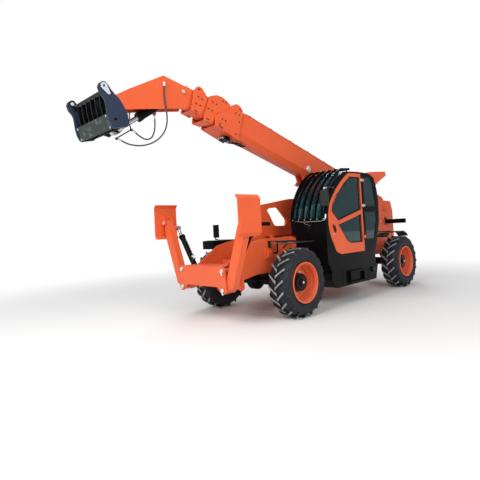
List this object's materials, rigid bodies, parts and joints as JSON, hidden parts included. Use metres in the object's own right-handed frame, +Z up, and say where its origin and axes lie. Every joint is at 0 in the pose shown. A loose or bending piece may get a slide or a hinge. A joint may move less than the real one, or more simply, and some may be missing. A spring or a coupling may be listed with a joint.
{
  "type": "telescopic handler",
  "caption": "Telescopic handler with a raised sliding-section boom, offset glazed cab, steered lug-tyred wheels, front stabilisers and a tool coupler.",
  "frame": {"origin": "on the ground under the middle of the machine's overall box", "axes": "+X towards the coupler, +Y to the machine's left (cab side), +Z up"},
  "size_m": [7.8524, 2.46, 3.85],
  "materials": {
    "orange_paint": "gloss",
    "black_paint": "satin",
    "black_plastic": "textured",
    "tyre": "matte",
    "chrome": "polished",
    "glass": "tinted",
    "seat_fabric": "woven",
    "hose_rubber": "matte"
  },
  "bodies": {
    "chassis": {"chassis_frame": "orange_paint", "nose_beam": "orange_paint", "counterweight": "orange_paint", "mudguards": "black_paint", "axle_front": "black_paint", "axle_rear": "black_paint", "cab_shell": "black_paint", "cab_glass": "glass", "guard_bars": "black_paint", "roof_unit": "orange_paint", "cab_controls": "black_plastic", "seat": "seat_fabric", "cab_fittings": "black_plastic", "fuel_tank": "black_plastic", "engine_cover": "orange_paint", "engine_block": "black_paint", "boom_guard": "orange_paint", "battery_box": "black_paint", "rear_lamp_arms": "black_paint"},
    "knuckle_front_left": {"knuckle_front_left": "black_paint"},
    "wheel_front_left": {"tyre_front_left": "tyre", "rim_front_left": "orange_paint"},
    "knuckle_front_right": {"knuckle_front_right": "black_paint"},
    "wheel_front_right": {"tyre_front_right": "tyre", "rim_front_right": "orange_paint"},
    "knuckle_rear_left": {"knuckle_rear_left": "black_paint"},
    "wheel_rear_left": {"tyre_rear_left": "tyre", "rim_rear_left": "orange_paint"},
    "knuckle_rear_right": {"knuckle_rear_right": "black_paint"},
    "wheel_rear_right": {"tyre_rear_right": "tyre", "rim_rear_right": "orange_paint"},
    "boom_main": {"boom_main": "orange_paint"},
    "boom_section_2": {"boom_section_2": "orange_paint"},
    "boom_section_3": {"boom_section_3": "orange_paint"},
    "boom_section_4": {"boom_section_4": "orange_paint", "hose_top": "hose_rubber", "hose_loop": "hose_rubber"},
    "coupler": {"coupler": "black_paint"},
    "lift_barrel": {"lift_barrel": "orange_paint"},
    "lift_rod": {"lift_rod": "chrome"},
    "tilt_barrel": {"tilt_barrel": "orange_paint"},
    "tilt_rod": {"tilt_rod": "chrome"},
    "stabiliser_arm_left": {"stabiliser_arm_left": "orange_paint"},
    "stabiliser_foot_left": {"stabiliser_foot_left": "orange_paint"},
    "stabiliser_barrel_left": {"stabiliser_barrel_left": "orange_paint"},
    "stabiliser_rod_left": {"stabiliser_rod_left": "chrome"},
    "stabiliser_arm_right": {"stabiliser_arm_right": "orange_paint"},
    "stabiliser_foot_right": {"stabiliser_foot_right": "orange_paint"},
    "stabiliser_barrel_right": {"stabiliser_barrel_right": "orange_paint"},
    "stabiliser_rod_right": {"stabiliser_rod_right": "chrome"},
    "door": {"door_frame": "orange_paint", "door_glass": "glass"},
    "hood": {"hood_lid": "orange_paint"}
  },
  "joints": [
    {"name": "steer_front_left", "type": "hinge", "parent": "chassis", "child": "knuckle_front_left", "pos_m": [0.8188, 0.72, 0.565], "axis": [0, 0, 1], "range_deg": [-35, 35]},
    {"name": "roll_front_left", "type": "hinge", "parent": "knuckle_front_left", "child": "wheel_front_left", "pos_m": [0.8188, 0.945, 0.565], "axis": [0, 1, 0], "continuous": true},
    {"name": "steer_front_right", "type": "hinge", "parent": "chassis", "child": "knuckle_front_right", "pos_m": [0.8188, -0.72, 0.565], "axis": [0, 0, 1], "range_deg": [-35, 35]},
    {"name": "roll_front_right", "type": "hinge", "parent": "knuckle_front_right", "child": "wheel_front_right", "pos_m": [0.8188, -0.945, 0.565], "axis": [0, 1, 0], "continuous": true},
    {"name": "steer_rear_left", "type": "hinge", "parent": "chassis", "child": "knuckle_rear_left", "pos_m": [-2.8712, 0.72, 0.565], "axis": [0, 0, 1], "range_deg": [-35, 35]},
    {"name": "roll_rear_left", "type": "hinge", "parent": "knuckle_rear_left", "child": "wheel_rear_left", "pos_m": [-2.8712, 0.945, 0.565], "axis": [0, 1, 0], "continuous": true},
    {"name": "steer_rear_right", "type": "hinge", "parent": "chassis", "child": "knuckle_rear_right", "pos_m": [-2.8712, -0.72, 0.565], "axis": [0, 0, 1], "range_deg": [-35, 35]},
    {"name": "roll_rear_right", "type": "hinge", "parent": "knuckle_rear_right", "child": "wheel_rear_right", "pos_m": [-2.8712, -0.945, 0.565], "axis": [0, 1, 0], "continuous": true},
    {"name": "boom_lift", "type": "hinge", "parent": "chassis", "child": "boom_main", "pos_m": [-3.5262, 0, 1.8], "axis": [0, -1, 0], "range_deg": [-20, 50]},
    {"name": "telescope_2", "type": "slide", "parent": "boom_main", "child": "boom_section_2", "axis": [0.9588, 0, 0.284], "range_m": [0, 3.3]},
    {"name": "telescope_3", "type": "slide", "parent": "boom_section_2", "child": "boom_section_3", "axis": [0.9588, 0, 0.284], "range_m": [0, 3.3]},
    {"name": "telescope_4", "type": "slide", "parent": "boom_section_3", "child": "boom_section_4", "axis": [0.9588, 0, 0.284], "range_m": [0, 3.3]},
    {"name": "coupler_tilt", "type": "hinge", "parent": "boom_section_4", "child": "coupler", "pos_m": [3.6538, 0, 3.24], "axis": [0, 1, 0], "range_deg": [-40, 55]},
    {"name": "lift_barrel_pivot", "type": "hinge", "parent": "chassis", "child": "lift_barrel", "pos_m": [-3.3762, 0, 1.24], "axis": [0, -1, 0], "range_deg": [-18.73, 46.84]},
    {"name": "lift_rod_slide", "type": "slide", "parent": "lift_barrel", "child": "lift_rod", "axis": [0.9242, 0, 0.382], "range_m": [-0.11963, 0.29757]},
    {"name": "tilt_barrel_pivot", "type": "hinge", "parent": "boom_section_4", "child": "tilt_barrel", "pos_m": [2.3388, 0, 3.67], "axis": [0, -1, 0], "range_deg": [-0.78, 1.07]},
    {"name": "tilt_rod_slide", "type": "slide", "parent": "tilt_barrel", "child": "tilt_rod", "axis": [0.8376, 0, -0.5462], "range_m": [-0.30027, 0.21865]},
    {"name": "stabiliser_swing_left", "type": "hinge", "parent": "chassis", "child": "stabiliser_arm_left", "pos_m": [1.9738, 0.506, 0.572], "axis": [-1, 0, 0], "range_deg": [0, 92]},
    {"name": "stabiliser_foot_tilt_left", "type": "hinge", "parent": "stabiliser_arm_left", "child": "stabiliser_foot_left", "pos_m": [1.9738, 0.987, 1.66], "axis": [1, 0, 0], "range_deg": [-5, 40]},
    {"name": "stabiliser_barrel_pivot_left", "type": "hinge", "parent": "chassis", "child": "stabiliser_barrel_left", "pos_m": [1.7788, 0.506, 0.863], "axis": [-1, 0, 0], "range_deg": [0, 98.77]},
    {"name": "stabiliser_rod_slide_left", "type": "slide", "parent": "stabiliser_barrel_left", "child": "stabiliser_rod_left", "axis": [0, 0.5458, 0.8379], "range_m": [-0.001, 0.39092]},
    {"name": "stabiliser_swing_right", "type": "hinge", "parent": "chassis", "child": "stabiliser_arm_right", "pos_m": [1.9738, -0.506, 0.572], "axis": [1, 0, 0], "range_deg": [0, 92]},
    {"name": "stabiliser_foot_tilt_right", "type": "hinge", "parent": "stabiliser_arm_right", "child": "stabiliser_foot_right", "pos_m": [1.9738, -0.987, 1.66], "axis": [-1, 0, 0], "range_deg": [-5, 40]},
    {"name": "stabiliser_barrel_pivot_right", "type": "hinge", "parent": "chassis", "child": "stabiliser_barrel_right", "pos_m": [1.7788, -0.506, 0.863], "axis": [1, 0, 0], "range_deg": [0, 98.77]},
    {"name": "stabiliser_rod_slide_right", "type": "slide", "parent": "stabiliser_barrel_right", "child": "stabiliser_rod_right", "axis": [0, -0.5458, 0.8379], "range_m": [-0.001, 0.39092]},
    {"name": "door_hinge", "type": "hinge", "parent": "chassis", "child": "door", "pos_m": [-1.2312, 1.076, 1.2], "axis": [0, 0, 1], "range_deg": [0, 95]},
    {"name": "hood_hinge", "type": "hinge", "parent": "chassis", "child": "hood", "pos_m": [-1.0262, -0.5, 1.455], "axis": [-1, 0, 0], "range_deg": [0, 60]}
  ],
  "couplings": [
    {"joint": "steer_front_right", "follows": "steer_front_left", "ratio": 1},
    {"joint": "steer_rear_left", "follows": "steer_front_left", "ratio": -1},
    {"joint": "steer_rear_right", "follows": "steer_front_left", "ratio": -1},
    {"joint": "telescope_3", "follows": "telescope_2", "ratio": 1},
    {"joint": "telescope_4", "follows": "telescope_2", "ratio": 1},
    {"joint": "lift_barrel_pivot", "follows": "boom_lift", "ratio": 0.93578},
    {"joint": "lift_rod_slide", "follows": "boom_lift", "m_per_rad": 0.33951},
    {"joint": "tilt_barrel_pivot", "follows": "coupler_tilt", "ratio": 0.019421},
    {"joint": "tilt_rod_slide", "follows": "coupler_tilt", "m_per_rad": -0.31145},
    {"joint": "stabiliser_barrel_pivot_left", "follows": "stabiliser_swing_left", "ratio": 1.0725},
    {"joint": "stabiliser_rod_slide_left", "follows": "stabiliser_swing_left", "m_per_rad": 0.24259},
    {"joint": "stabiliser_barrel_pivot_right", "follows": "stabiliser_swing_right", "ratio": 1.0725},
    {"joint": "stabiliser_rod_slide_right", "follows": "stabiliser_swing_right", "m_per_rad": 0.24259}
  ]
}
